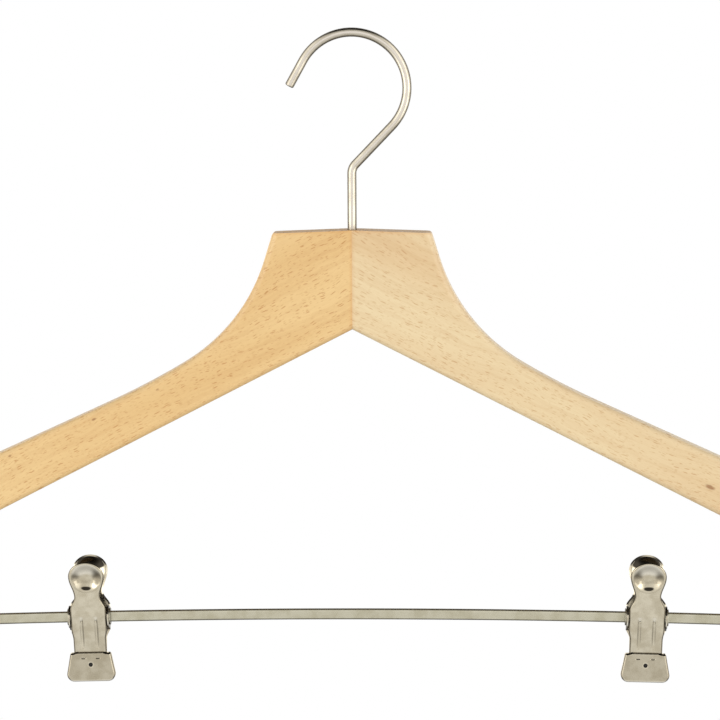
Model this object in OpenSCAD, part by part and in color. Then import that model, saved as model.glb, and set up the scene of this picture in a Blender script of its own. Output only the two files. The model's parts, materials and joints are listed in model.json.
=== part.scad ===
// Wooden clothes hanger with a swivel wire hook, a flat trouser bar and two sprung bar clips.
// The front looks along +Y. +X is to the right and +Z is up.
// The origin is where the hook enters the top of the neck, half way through the wood.

/* [Wooden arms] */
// Overall length of the hanger, tip to tip
span = 444; // [430:1:460]
// Thickness of the wood, front to back
wood_t = 14; // [13:0.5:16]
// Half the width of the neck at its top
neck_half_w = 34.4; // [32:0.2:36]
// How far the top of the neck falls from its middle to its corner
neck_fall = 1.2; // [0.5:0.1:2]
// Slope of the side of the neck, from level
neck_slope = 72.7; // [70:0.1:75]
// Length of the straight side of the neck
neck_side = 12.2; // [10:0.2:14]
// Radius of the curve from the neck to the shoulder
neck_r = 80.5; // [78:0.5:84]
// Slope at which the neck curve runs into the shoulder curve
shoulder_slope = 30.9; // [30:0.1:32]
// Radius of the shallow shoulder curve
shoulder_r = 330; // [300:5:360]
// Slope of the top of the arm, from level
arm_slope = 24.5; // [24:0.1:25]
// Slope of the underside of the arm, from level
under_slope = 27.1; // [26.6:0.1:27.3]
// Depth of the inner corner below the top of the neck
apex_drop = 43.2; // [42.4:0.1:45]
// Rounding of the upper corner of the arm's tip
tip_r = 12; // [8:0.5:13]
// Rounding of the lower corner of the arm's tip
tip_low_r = 7; // [5:0.5:8]
// Length of the glued fingers in the joint between the arms
finger_l = 5; // [4:0.5:6]
// Number of glued fingers
finger_count = 3; // [1:2:5]
// Thickness of the plain lip in front of and behind the fingers
lip_t = 2; // [1.5:0.1:3]
// Rounding of the corner at the top of the neck
neck_corner_r = 1.3; // [0.8:0.1:2]

/* [Hook] */
// Diameter of the hook and bar wire
wire_d = 4; // [3.8:0.1:4.2]
// Radius of the hook's bow, to the middle of the wire
hook_r = 24; // [22:0.5:26]
// Height of the middle of the bow above the neck
hook_centre_z = 61.1; // [60:0.1:64]
// Angle round the bow at which the open end leaves it
hook_open_angle = 151; // [145:1:156]
// Length of the straight open end
hook_tip_l = 12.4; // [10:0.1:14]
// Angle round the bow at which the wire turns back to the shank, below level
hook_back_angle = 43.8; // [42:0.1:45]
// Radius of the bend at the top of the shank
shank_bend_r = 5.5; // [5:0.5:6.5]
// Chamfer on the open end
hook_chamfer = 0.4; // [0.2:0.1:0.6]
// Depth of the shank in the neck
shank_depth = 28; // [26:1:30]
// Depth of the middle of the groove that the cross pin runs in
groove_depth = 22; // [20:0.5:23]
// Diameter of the shank in the groove
groove_d = 3; // [2.8:0.1:3.2]
// Width of the groove
groove_w = 2.3; // [2.2:0.1:2.6]
// Diameter of the cross pin
pin_d = 2; // [1.8:0.1:2]
// Length of the cross pin
pin_l = 11; // [10:0.5:12]

/* [Trouser bar] */
// Height of the flattened bar
bar_h = 4.9; // [4.6:0.1:5]
// Thickness of the flattened bar
bar_t = 2.4; // [2.2:0.1:2.6]
// Depth of the middle of the bar below the top of the neck
bar_drop = 169.1; // [167:0.1:172]
// Radius of the bar's slight upward bow
bow_r = 5476; // [5200:4:5800]
// Half the length of the flattened stretch
flat_half_l = 186; // [185.5:0.5:187]
// Length over which the flat turns back into round wire
flat_run_out = 4; // [3:0.5:5]
// Distance of each upright leg from the middle
leg_x = 200; // [199:0.5:202]
// Radius of the bend into the leg
leg_bend_r = 7; // [6:0.5:7.5]
// Depth of the leg's hole, measured up the leg from the underside of the arm
leg_hole_depth = 18; // [14:1:19]

/* [Clips] */
// Place of the left clip along the bar
left_clip_x = -116.5; // [-170:0.5:-20]
// Place of the right clip along the bar
right_clip_x = 128; // [20:0.5:170]
// Thickness of the pressed sheet
sheet_t = 0.8; // [0.7:0.05:0.8]
// Distance of the mouth's outer face from the middle plane
mouth_y = 1.9; // [1.8:0.05:2]
// Depth of the mouth's lower edge below the pivot
mouth_drop = 28.8; // [27:0.1:30]
// Half the width of the mouth at its lower corners
mouth_half_w = 11.3; // [10:0.1:11.5]
// Half the width of the mouth at its upper corners
mouth_top_half_w = 8.9; // [8.5:0.1:9.5]
// Rounding of the mouth's lower corners
mouth_corner_r = 3.2; // [2:0.1:4]
// Depth of the crease at the top of the mouth below the pivot
crease_drop = 16; // [15:0.1:17]
// Step of the crease, front to back
crease_step = 0.5; // [0.3:0.1:0.6]
// Half the width of the body at the crease
crease_half_w = 7.2; // [6.8:0.1:7.6]
// Distance of the jaw's bend from the middle plane
bend_y = 5.5; // [5.4:0.1:5.8]
// Height of the jaw's bend above the pivot
bend_z = 1; // [0.5:0.1:1.5]
// Lean of the thumb lever away from upright
lever_lean = 14.6; // [13:0.1:16]
// Height of the waist above the pivot
waist_z = 9.9; // [9:0.1:11]
// Half the width of the waist
waist_half_w = 5.65; // [5.6:0.05:6]
// Height of the middle of the thumb pad above the pivot
thumb_z = 19.2; // [18:0.1:20]
// Half the width of the thumb pad
thumb_half_w = 7.8; // [7:0.1:8]
// Half the height of the thumb pad
thumb_half_h = 6.7; // [6:0.1:7.5]
// Half the width of the front jaw at the pivot
front_half_w = 7.8; // [7.6:0.1:7.8]
// Half the width of the rear jaw at the pivot
rear_half_w = 8.9; // [8.9:0.1:9.2]
// Radius of the front jaw's ears round the pivot
front_ear_r = 4.2; // [4:0.1:4.2]
// Radius of the rear jaw's ears round the pivot
rear_ear_r = 5; // [4.5:0.1:5]
// Outer diameter of the pivot tube
tube_d = 5.9; // [5.85:0.05:5.95]
// Radius of the tube's flared ends
flare_r = 3.7; // [3.5:0.1:3.9]
// Thickness of the tube's flared ends
flare_t = 0.5; // [0.4:0.1:0.6]
// Diameter of the spring wire
spring_wire_d = 0.9; // [0.8:0.05:0.9]
// Full turns in each of the spring's two coils
spring_turns = 3; // [2:1:3]
// Length of the spring's legs
spring_leg_l = 11; // [8:0.5:12]
// Distance of each coil's outer end from the middle of the clip
spring_half_w = 5.1; // [5:0.1:5.1]

/* [Hidden] */

beech_left = [0.90, 0.74, 0.53];
beech_right = [0.89, 0.79, 0.63];
satin_nickel = [0.72, 0.70, 0.63];
bright_nickel = [0.75, 0.73, 0.66];
black_rubber = [0.08, 0.08, 0.08];

arc_steps = 24;
round_fn = 96;
run_out_fn = 32;
bow_fn = 256;
// Angle between neighbouring points on the thumb pad's edge and on the spring's coil
thumb_step_a = 5;
spring_step_a = 18;
wire_r = wire_d / 2;
// Radial clearance of the shank in the neck
bore_gap = 0.08;
// Radial clearance of the leg in its glued hole
leg_gap = 0.05;
// Space left for glue above the end of the leg
glue_gap = 0.5;
// Clearance of the cross pin from the groove
pin_gap = 0.05;
// Clearances in a clip: ears on the tube, tube on the bar, flare beside the ear
tube_gap = 0.05;
slot_gap = 0.08;
flare_gap = 0.05;
// Clearances in a clip: coil on the tube, spring leg to lever, pad to pad
coil_gap = 0.12;
leg_tip_gap = 0.05;
rubber_gap = 0.05;
turn_gap = 0.05;
// Rubber lining: margin inside the edge of the mouth, and below the crease
rubber_inset = 0.9;
rubber_top_gap = 1.4;
// The side of a jaw leaves the crease's width at the first height and is full between the other two
widen_z = -10;
full_low_z = -5.3;
full_high_z = 3.7;
// Heights at which the lower edges of the ears meet the sheet
front_ear_low_z = -7;
rear_ear_low_z = -6.5;
through = 1;

// Point at a distance from a centre, at an angle from +X.
function polar(centre, r, a) = centre + r * [cos(a), sin(a)];

function unit(v) = v / norm(v);

function mirrored(points) = [for (i = [len(points) - 1:-1:0]) [-points[i][0], points[i][1]]];

// Points along an arc, from one angle to another.
function arc(centre, r, a0, a1, steps = arc_steps) =
    [for (i = [0:steps]) polar(centre, r, a0 + (a1 - a0) * i / steps)];

// Points that round the corner at b, between the neighbours a and c.
function rounded_corner(a, b, c, r, steps = 8) =
    let (
        to_a = unit(a - b),
        to_c = unit(c - b),
        half = acos(to_a * to_c) / 2,
        centre = b + unit(to_a + to_c) * r / sin(half),
        start = b + to_a * r / tan(half) - centre,
        finish = b + to_c * r / tan(half) - centre,
        a0 = atan2(start[1], start[0]),
        turn = atan2(finish[1], finish[0]) - a0,
        short_turn = turn > 180 ? turn - 360 : turn < -180 ? turn + 360 : turn
    )
    arc(centre, r, a0, a0 + short_turn, steps);

// ---------------------------------------------------------------- wooden arms

neck_corner = [neck_half_w, -neck_fall];
neck_foot = neck_corner + neck_side * [cos(neck_slope), -sin(neck_slope)];
neck_centre = neck_foot + neck_r * [sin(neck_slope), cos(neck_slope)];
shoulder_start = neck_centre - neck_r * [sin(shoulder_slope), cos(shoulder_slope)];
shoulder_centre = shoulder_start + shoulder_r * [sin(shoulder_slope), cos(shoulder_slope)];
arm_start = shoulder_centre - shoulder_r * [sin(arm_slope), cos(arm_slope)];
tip_top = [span / 2, arm_start[1] - (span / 2 - arm_start[0]) * tan(arm_slope)];
tip_bottom = [span / 2, -apex_drop - span / 2 * tan(under_slope)];
apex = [0, -apex_drop];
finger_t = (wood_t - 2 * lip_t) / finger_count;

// Height of the arm's underside at a distance from the middle.
function underside_z(x) = -apex_drop - abs(x) * tan(under_slope);

arm_outline = concat(
    [[0, 0]],
    rounded_corner([0, 0], neck_corner, neck_foot, neck_corner_r),
    arc(neck_centre, neck_r, 270 - neck_slope, 270 - shoulder_slope),
    arc(shoulder_centre, shoulder_r, 270 - shoulder_slope, 270 - arm_slope),
    rounded_corner(arm_start, tip_top, tip_bottom, tip_r),
    rounded_corner(tip_top, tip_bottom, apex, tip_low_r),
    [apex]
);

// Stands a flat shape up in the plane of the hanger, centred on y.
module upright(thickness, y = 0) {
    translate([0, y, 0]) rotate([90, 0, 0]) linear_extrude(thickness, center = true) children();
}

// Places a flat shape in each layer where one arm (side 1 right, side -1 left) has a finger.
module in_finger_layers(side) {
    first = side == 1 ? 0 : 1;
    for (i = [first:2:finger_count - 1])
        upright(finger_t, -wood_t / 2 + lip_t + (i + 0.5) * finger_t) children();
}

// The fingers that one arm sends into the other: they have the outline of the other's neck.
module fingers(side) {
    tip_x = -side * finger_l;
    in_finger_layers(side)
        polygon([[0, 0], [tip_x, -finger_l * neck_fall / neck_half_w], [tip_x, underside_z(tip_x)], apex]);
}

// The slots in one arm for the fingers of the other.
module finger_slots(side) {
    in_finger_layers(-side)
        translate([side == 1 ? 0 : -finger_l, -2 * apex_drop]) square([finger_l, 3 * apex_drop]);
}

module arm(side) {
    difference() {
        union() {
            upright(wood_t) polygon(side == 1 ? arm_outline : mirrored(arm_outline));
            fingers(side);
        }
        finger_slots(side);
        // Hook bore
        translate([0, 0, -shank_depth - bore_gap])
            cylinder(h = shank_depth + bore_gap + through, r = wire_r + bore_gap, $fn = round_fn);
        hook_pin_shape();
        // Hole for the leg of the bar
        translate([side * leg_x, 0, underside_z(leg_x) - 2 * wire_d])
            cylinder(h = leg_hole_depth + 2 * wire_d, r = wire_r + leg_gap, $fn = round_fn);
    }
}

module left_arm() {
    color(beech_left) arm(-1);
}

module right_arm() {
    color(beech_right) arm(1);
}

// ---------------------------------------------------------------- wire work

// Straight runs of wire lap over the ends of the bends by this much.
wire_lap = 0.2;
// A piece of wire that ends inside another is this much thinner all round.
wire_ease = 0.06;

// A straight round wire between two points [x, z] of the plane y = 0, with laps at its ends.
module straight_wire(from, to, start_lap = wire_lap, end_lap = wire_lap, chamfer = 0) {
    run = to - from;
    low = -start_lap;
    high = norm(run) + end_lap;
    translate([from[0], 0, from[1]])
        rotate([0, atan2(run[0], run[1]), 0])
            rotate_extrude($fn = round_fn)
                polygon([
                    [0, low], [wire_r, low], [wire_r, high - chamfer],
                    [wire_r - chamfer, high], [0, high],
                ]);
}

// A wire bent round a centre [x, z], from one angle to another.
module bent_wire(centre, r, a0, a1) {
    translate([centre[0], 0, centre[1]])
        rotate([90, 0, 0])
            rotate_extrude(start = a0, angle = a1 - a0, $fn = round_fn)
                translate([r, 0]) circle(wire_r - wire_ease, $fn = round_fn);
}

hook_centre = [0, hook_centre_z];
open_end = polar(hook_centre, hook_r, hook_open_angle);
open_dir = [-sin(hook_open_angle), cos(hook_open_angle)];
hook_tip = open_end + hook_tip_l * open_dir;
back_point = polar(hook_centre, hook_r, -hook_back_angle);
back_dir = [-sin(hook_back_angle), -cos(hook_back_angle)];
// The slanted run meets the line of the shank here, before the corner is bent.
shank_corner_z = back_point[1] - back_point[0] * cos(hook_back_angle) / sin(hook_back_angle);
shank_bend_turn = hook_back_angle;
shank_bend_run = shank_bend_r * tan(shank_bend_turn / 2);
shank_top = [0, shank_corner_z - shank_bend_run];
slant_foot = [0, shank_corner_z] - shank_bend_run * back_dir;

module hook() {
    color(satin_nickel) difference() {
        union() {
            straight_wire([0, -shank_depth], shank_top, start_lap = 0);
            bent_wire([shank_bend_r, shank_top[1]], shank_bend_r, 180 - shank_bend_turn, 180);
            straight_wire(slant_foot, back_point);
            bent_wire(hook_centre, hook_r, -hook_back_angle, hook_open_angle);
            straight_wire(open_end, hook_tip, end_lap = 0, chamfer = hook_chamfer);
        }
        translate([0, 0, -groove_depth - groove_w / 2])
            difference() {
                cylinder(h = groove_w, r = wire_r + through, $fn = round_fn);
                cylinder(h = groove_w, r = groove_d / 2, $fn = round_fn);
            }
    }
}

// The cross pin lies beside the groove and stops the hook from pulling out.
module hook_pin_shape() {
    pin_x = (groove_d + pin_d) / 2 + pin_gap;
    translate([pin_x, wood_t / 2, -groove_depth])
        rotate([90, 0, 0])
            cylinder(h = pin_l, d = pin_d, $fn = round_fn);
}

module hook_pin() {
    color(satin_nickel) hook_pin_shape();
}

// ---------------------------------------------------------------- trouser bar

bow_centre_z = -bar_drop - bow_r;
flat_angle = asin(flat_half_l / bow_r);
flat_end = [bow_r * sin(flat_angle), bow_centre_z + bow_r * cos(flat_angle)];
bar_dir = [cos(flat_angle), -sin(flat_angle)];
bar_up = [sin(flat_angle), cos(flat_angle)];
// Round wire runs straight on from the flat to the bend into the leg.
run_l = (leg_x - leg_bend_r * (1 + sin(flat_angle)) - flat_end[0]) / cos(flat_angle);
run_start = flat_end + flat_run_out * bar_dir;
run_end = flat_end + run_l * bar_dir;
bend_centre = run_end + leg_bend_r * bar_up;
leg_top = underside_z(leg_x) + leg_hole_depth - glue_gap;

// The rolled section of the bar, with its height along X, grown all round by a margin.
module bar_section(margin = 0, fn = round_fn) {
    square([bar_h - bar_t, bar_t + 2 * margin], center = true);
    for (side = [-1, 1])
        translate([side * (bar_h - bar_t) / 2, 0]) circle(bar_t / 2 + margin, $fn = fn);
}

// One end of the bar: the flat runs out into round wire, which turns up into the leg.
module bar_end() {
    translate([flat_end[0], 0, flat_end[1]])
        rotate([0, 90 + flat_angle, 0])
            hull() {
                translate([0, 0, -wire_lap]) linear_extrude(wire_lap) bar_section(-wire_ease, run_out_fn);
                translate([0, 0, flat_run_out])
                    cylinder(h = wire_lap, r = wire_r - wire_ease, $fn = run_out_fn);
            }
    straight_wire(run_start, run_end, start_lap = 0);
    bent_wire(bend_centre, leg_bend_r, -90 - flat_angle, 0);
    straight_wire([leg_x, bend_centre[1]], [leg_x, leg_top], end_lap = 0, chamfer = hook_chamfer);
}

module bar() {
    color(satin_nickel) {
        translate([0, 0, bow_centre_z])
            rotate([90, 0, 0])
                rotate_extrude(start = 90 - flat_angle, angle = 2 * flat_angle, $fn = bow_fn)
                    translate([bow_r, 0]) bar_section();
        bar_end();
        mirror([1, 0, 0]) bar_end();
    }
}

// ---------------------------------------------------------------- clips
// A clip is drawn with its pivot at the origin: X along the bar, Z across it.

// Carries a clip to its place on the bowed bar.
module on_bar(x) {
    translate([0, 0, bow_centre_z])
        rotate([0, asin(x / bow_r), 0])
            translate([0, 0, bow_r]) children();
}

// The sheet's thickness measured level, front to back, on the leaning lever
sheet_y = sheet_t / cos(lever_lean);
thumb_top = thumb_z + thumb_half_h;
lever_top_y = bend_y + (thumb_top - bend_z) * tan(lever_lean);
foot_y = mouth_y - crease_step;
step_z = 0.3;

// The outer face of the front jaw as [y, z], from the mouth up to the end of the lever
jaw_face = [
    [-mouth_y, -mouth_drop],
    [-mouth_y, -crease_drop - step_z],
    [-foot_y, -crease_drop],
    [-bend_y, bend_z],
    [-lever_top_y, thumb_top],
];

// Distance of the jaw's outer face from the middle plane, between the crease and the bend
function body_y(z) = foot_y + (bend_y - foot_y) * (z + crease_drop) / (bend_z + crease_drop);

// Goes smoothly from a to b as t goes from 0 to 1.
function ease(a, b, t) = a + (b - a) * (1 - cos(180 * t)) / 2;

// Points [half width, z] that ease through a list of such stations.
function eased(stations, steps = 8) = [
    for (i = [1:len(stations) - 1], k = [1:steps])
        let (a = stations[i - 1], b = stations[i])
        [ease(a[0], b[0], k / steps), a[1] + (b[1] - a[1]) * k / steps]
];

// The right-hand edge of a jaw seen from the front, from the mouth up to the thumb pad
function jaw_edge(half_w) = concat(
    rounded_corner(
        [0, -mouth_drop], [mouth_half_w, -mouth_drop],
        [mouth_top_half_w, -crease_drop - step_z], mouth_corner_r
    ),
    [[mouth_top_half_w, -crease_drop - 2 * step_z], [crease_half_w, -crease_drop]],
    eased([
        [crease_half_w, -crease_drop], [crease_half_w, widen_z], [half_w, full_low_z],
        [half_w, full_high_z], [waist_half_w, waist_z], [thumb_half_w, thumb_z],
    ]),
    [
        for (a = [thumb_step_a:thumb_step_a:90 - thumb_step_a])
            [thumb_half_w * cos(a), thumb_z + thumb_half_h * sin(a)]
    ]
);

// Extrudes a flat shape drawn in [y, z] along the bar, from x0 to x1.
module along_bar(x0, x1) {
    translate([x0, 0, 0]) rotate([90, 0, 90]) linear_extrude(x1 - x0) children();
}

// The pressed sheet of a jaw: its side view and its front view, cut from one another.
module jaw_sheet(half_w) {
    edge = jaw_edge(half_w);
    intersection() {
        along_bar(-mouth_half_w - through, mouth_half_w + through)
            polygon(concat(jaw_face, [for (i = [len(jaw_face) - 1:-1:0]) jaw_face[i] + [sheet_y, 0]]));
        upright(4 * lever_top_y) polygon(concat(edge, mirrored(edge)));
    }
}

// Two ears folded back from the sheet and drilled for the pivot tube.
module ears(half_w, r, low_z, high_z) {
    for (x = [-half_w, half_w - sheet_t])
        along_bar(x, x + sheet_t) {
            circle(r, $fn = round_fn);
            polygon([
                [-body_y(low_z) + sheet_y / 2, low_z], [0, -r],
                [0, r], [-bend_y + sheet_y / 2, high_z],
            ]);
        }
}

module pivot_hole() {
    along_bar(-2 * rear_half_w, 2 * rear_half_w) circle(tube_d / 2 + tube_gap, $fn = round_fn);
}

module front_jaw_shape() {
    difference() {
        union() {
            jaw_sheet(front_half_w);
            ears(front_half_w, front_ear_r, front_ear_low_z, bend_z);
        }
        pivot_hole();
    }
}

module rear_jaw_shape() {
    mirror([0, 1, 0]) difference() {
        union() {
            jaw_sheet(rear_half_w);
            ears(rear_half_w, rear_ear_r, rear_ear_low_z, full_high_z);
        }
        pivot_hole();
    }
}

// A round tube with flared ends and a slot that holds it upright on the flat bar.
module pivot_tube_shape() {
    flare_x = rear_half_w + flare_gap;
    difference() {
        union() {
            along_bar(-flare_x, flare_x) circle(tube_d / 2, $fn = round_fn);
            for (x = [-flare_x - flare_t, flare_x]) along_bar(x, x + flare_t) circle(flare_r, $fn = round_fn);
        }
        along_bar(-2 * flare_x, 2 * flare_x) rotate(90) bar_section(slot_gap);
    }
}

// The rubber lining of the front jaw's mouth.
module rubber_shape() {
    top = -crease_drop - rubber_top_gap;
    bottom = -mouth_drop + rubber_inset;
    top_half_w = mouth_top_half_w - rubber_inset;
    bottom_half_w = mouth_half_w - rubber_inset;
    corner_r = mouth_corner_r - rubber_inset;
    edge = concat(
        rounded_corner([0, bottom], [bottom_half_w, bottom], [top_half_w, top], corner_r),
        [[top_half_w, top]]
    );
    thickness = mouth_y - sheet_y - rubber_gap;
    upright(thickness, -rubber_gap - thickness / 2) polygon(concat(edge, mirrored(edge)));
}

// Sweeps a round wire along a path of [point, direction across the wire].
module swept_wire(path, r, sides = 8) {
    last = len(path) - 1;
    rings = [
        for (i = [0:last])
            let (
                along = unit(path[min(i + 1, last)][0] - path[max(i - 1, 0)][0]),
                across = unit(path[i][1] - (path[i][1] * along) * along),
                other = cross(along, across)
            )
            for (k = [0:sides - 1])
                path[i][0] + r * (cos(360 * k / sides) * across + sin(360 * k / sides) * other)
    ];
    walls = [
        for (i = [0:last - 1], k = [0:sides - 1])
            let (a = i * sides + k, b = i * sides + (k + 1) % sides)
            each [[a, a + sides, b], [b, a + sides, b + sides]]
    ];
    start_cap = [for (k = [0:sides - 1]) k];
    end_cap = [for (k = [sides - 1:-1:0]) last * sides + k];
    polyhedron(points = rings, faces = concat(walls, [start_cap, end_cap]));
}

// A vector of length r at an angle in the plane across the bar: 0 is +Y and 90 is +Z.
function across_bar(r, a) = [0, r * cos(a), r * sin(a)];

coil_r = tube_d / 2 + coil_gap + spring_wire_d / 2;
lever_inner = bend_y * cos(lever_lean) - bend_z * sin(lever_lean) - sheet_t;
leg_lean = lever_lean + asin((lever_inner - coil_r - spring_wire_d / 2 - leg_tip_gap) / spring_leg_l);
coil_turn = 360 * spring_turns + 180 - 2 * leg_lean;
coil_pitch = spring_wire_d + turn_gap;
coil_l = coil_pitch * coil_turn / 360;
bridge_r = spring_half_w - coil_l;
coil_steps = ceil(coil_turn / spring_step_a);
front_leg_a = 180 + leg_lean;
front_leg_dir = [0, -sin(leg_lean), cos(leg_lean)];
rear_leg_dir = [0, sin(leg_lean), cos(leg_lean)];
bridge_centre = across_bar(coil_r, -leg_lean) + (spring_leg_l - bridge_r) * rear_leg_dir;

// Half of the spring: down the front leg, round the coil and up to the middle of the bridge.
half_spring = concat(
    [[
        [spring_half_w, 0, 0] + across_bar(coil_r, front_leg_a) + spring_leg_l * front_leg_dir,
        across_bar(1, front_leg_a)
    ]],
    [
        for (i = [0:coil_steps])
            let (a = front_leg_a + coil_turn * i / coil_steps)
            [[spring_half_w - coil_l * i / coil_steps, 0, 0] + across_bar(coil_r, a), across_bar(1, a)]
    ],
    [
        for (a = [0:spring_step_a:90])
            [
                bridge_centre + [bridge_r * cos(a), 0, 0] + bridge_r * sin(a) * rear_leg_dir,
                across_bar(1, -leg_lean)
            ]
    ]
);

module spring_shape() {
    other_half = [
        for (i = [len(half_spring) - 2:-1:0])
            let (p = half_spring[i][0])
            [[-p[0], p[1], p[2]], half_spring[i][1]]
    ];
    swept_wire(concat(half_spring, other_half), spring_wire_d / 2);
}

module left_front_jaw() { color(bright_nickel) on_bar(left_clip_x) front_jaw_shape(); }
module right_front_jaw() { color(bright_nickel) on_bar(right_clip_x) front_jaw_shape(); }
module left_rear_jaw() { color(bright_nickel) on_bar(left_clip_x) rear_jaw_shape(); }
module right_rear_jaw() { color(bright_nickel) on_bar(right_clip_x) rear_jaw_shape(); }
module left_pivot_tube() { color(satin_nickel) on_bar(left_clip_x) pivot_tube_shape(); }
module right_pivot_tube() { color(satin_nickel) on_bar(right_clip_x) pivot_tube_shape(); }
module left_spring() { color(satin_nickel) on_bar(left_clip_x) spring_shape(); }
module right_spring() { color(satin_nickel) on_bar(right_clip_x) spring_shape(); }
module left_front_pad() { color(black_rubber) on_bar(left_clip_x) rubber_shape(); }
module right_front_pad() { color(black_rubber) on_bar(right_clip_x) rubber_shape(); }
module left_rear_pad() { color(black_rubber) on_bar(left_clip_x) mirror([0, 1, 0]) rubber_shape(); }
module right_rear_pad() { color(black_rubber) on_bar(right_clip_x) mirror([0, 1, 0]) rubber_shape(); }

left_arm();
right_arm();
hook();
hook_pin();
bar();
left_front_jaw();
left_rear_jaw();
left_pivot_tube();
left_spring();
left_front_pad();
left_rear_pad();
right_front_jaw();
right_rear_jaw();
right_pivot_tube();
right_spring();
right_front_pad();
right_rear_pad();
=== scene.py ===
"""Looks for a wooden clothes hanger with a swivel hook and a bar with two sprung clips."""

import json
import math

import bmesh
import bpy
from mathutils import Matrix, Vector, geometry, kdtree


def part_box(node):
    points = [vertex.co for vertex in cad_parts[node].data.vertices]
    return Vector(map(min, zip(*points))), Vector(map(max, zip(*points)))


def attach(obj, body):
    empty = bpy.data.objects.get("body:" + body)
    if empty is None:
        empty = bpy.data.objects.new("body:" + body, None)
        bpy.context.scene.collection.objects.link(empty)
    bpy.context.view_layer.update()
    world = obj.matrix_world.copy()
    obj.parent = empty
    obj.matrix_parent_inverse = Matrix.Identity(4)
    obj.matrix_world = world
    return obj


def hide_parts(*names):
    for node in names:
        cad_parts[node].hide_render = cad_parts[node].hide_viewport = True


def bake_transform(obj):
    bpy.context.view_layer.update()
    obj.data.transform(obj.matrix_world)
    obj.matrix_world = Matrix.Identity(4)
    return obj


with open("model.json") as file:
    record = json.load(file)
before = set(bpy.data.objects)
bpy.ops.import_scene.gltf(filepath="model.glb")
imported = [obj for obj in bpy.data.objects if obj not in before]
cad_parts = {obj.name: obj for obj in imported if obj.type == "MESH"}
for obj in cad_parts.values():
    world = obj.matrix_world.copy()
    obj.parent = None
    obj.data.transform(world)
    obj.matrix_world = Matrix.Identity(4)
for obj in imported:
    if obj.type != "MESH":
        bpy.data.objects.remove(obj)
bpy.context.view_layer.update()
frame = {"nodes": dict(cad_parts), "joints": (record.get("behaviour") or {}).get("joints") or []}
joints = {j["name"]: j for j in frame["joints"]}

MM = 0.001
SIDES = ("left", "right")

# ---------------------------------------- driving sizes, in millimetres

board_lo, board_hi = (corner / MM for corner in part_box("right_arm"))
board_t = board_hi.y - board_lo.y
half_span = board_hi.x
hook_lo, hook_hi = (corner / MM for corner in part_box("hook"))
wire_r = (hook_hi.y - hook_lo.y) / 2
bar_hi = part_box("bar")[1] / MM

# Outline of the board, as slopes in degrees from level and lengths in millimetres
neck_half_w, neck_fall, neck_slope, neck_side = 34.4, 1.2, 72.7, 12.2
neck_r, shoulder_slope, shoulder_r, arm_slope = 80.5, 30.9, 330.0, 24.5
apex_drop, under_slope, tip_r, tip_low_r = 43.2, 27.1, 12.0, 7.0
neck_corner_r = 1.6
neck_spare_l = 7.0
edge_r = 3.0
finger_l, lip_t, finger_count = 5.0, 2.0, 3
half_glue_t, shank_gap, leg_gap = 0.004, 0.08, 0.05
grain_tilt = 25.5
# How far cutting tools reach past the board
beyond = 20.0

# Hook
hook_open_angle, hook_back_angle, hook_tip_l, shank_bend_r = 151.0, 43.8, 12.4, 5.5
groove_depth, groove_w, groove_r = 22.0, 2.3, 1.5
hook_r = hook_hi.x - wire_r
hook_centre = (0.0, hook_hi.z - wire_r - hook_r)

# Bar
bar_half_h, bar_half_t = 2.45, 1.2
flat_half_l, run_out_l, leg_bend_r = 186.0, 5.0, 7.0
leg_x = bar_hi.x - wire_r
bow_centre = Vector(joints["left_clip_slide"]["pos_m"]) / MM
bow_r = (Vector(joints["left_clip_swing"]["pos_m"]) / MM - bow_centre).length

# Clips
sheet_t, mouth_y, mouth_drop, crease_drop, crease_step = 0.8, 1.9, 28.8, 16.0, 0.14
mouth_half_w, mouth_top_half_w, mouth_corner_r = 11.3, 8.9, 3.2
bend_y, bend_z, lever_lean = 5.5, 1.0, 14.6
crease_half_w, waist_half_w, waist_z = 7.2, 5.65, 9.9
thumb_z, thumb_half_w, thumb_half_h = 19.2, 7.8, 6.7
flare_z, body_low_z, body_high_z = -10.0, -5.3, 3.7
ear_heights = {"front": (-7.0, bend_z), "rear": (-6.5, body_high_z)}
half_width = {"front": 7.8, "rear": 8.9}
ear_radius = {"front": 4.2, "rear": 5.0}
tube_r, ear_gap, coil_gap, wire_gap = 2.95, 0.05, 0.12, 0.05
spring_r, spring_turns, spring_leg_l, spring_half_w = 0.45, 3, 11.0, 5.1
rubber_gap = 0.05
crease_band = 0.12
hole_z, hole_r = -21.2, 0.95
eye_x, eye_z, pit_x, pit_z = 3.2, -18.2, 3.05, -1.3
channel_x, channel_low_z, channel_high_z = 3.2, -14.5, 0.5
foot_y = mouth_y - crease_step
slant = math.tan(math.radians(lever_lean))
thumb_top = thumb_z + thumb_half_h


# ---------------------------------------- plane geometry

def polar(centre, r, degrees):
    a = math.radians(degrees)
    return (centre[0] + r * math.cos(a), centre[1] + r * math.sin(a))


def arc(centre, r, a0, a1, steps):
    return [polar(centre, r, a0 + (a1 - a0) * i / steps) for i in range(steps + 1)]


def rounded_corner(a, b, c, r, steps=10):
    """Points that round the corner at b between its neighbours a and c."""
    to_a = (Vector(a) - Vector(b)).normalized()
    to_c = (Vector(c) - Vector(b)).normalized()
    half = to_a.angle(to_c) / 2
    centre = Vector(b) + (to_a + to_c).normalized() * r / math.sin(half)
    start = Vector(b) + to_a * r / math.tan(half) - centre
    finish = Vector(b) + to_c * r / math.tan(half) - centre
    a0 = math.degrees(math.atan2(start.y, start.x))
    turn = math.degrees(math.atan2(finish.y, finish.x)) - a0
    turn = (turn + 180) % 360 - 180
    return arc(centre, r, a0, a0 + turn, steps)


def mirrored(points):
    return [(-x, z) for x, z in reversed(points)]


def ease(a, b, t):
    return a + (b - a) * (1 - math.cos(math.pi * min(max(t, 0.0), 1.0))) / 2


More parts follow.
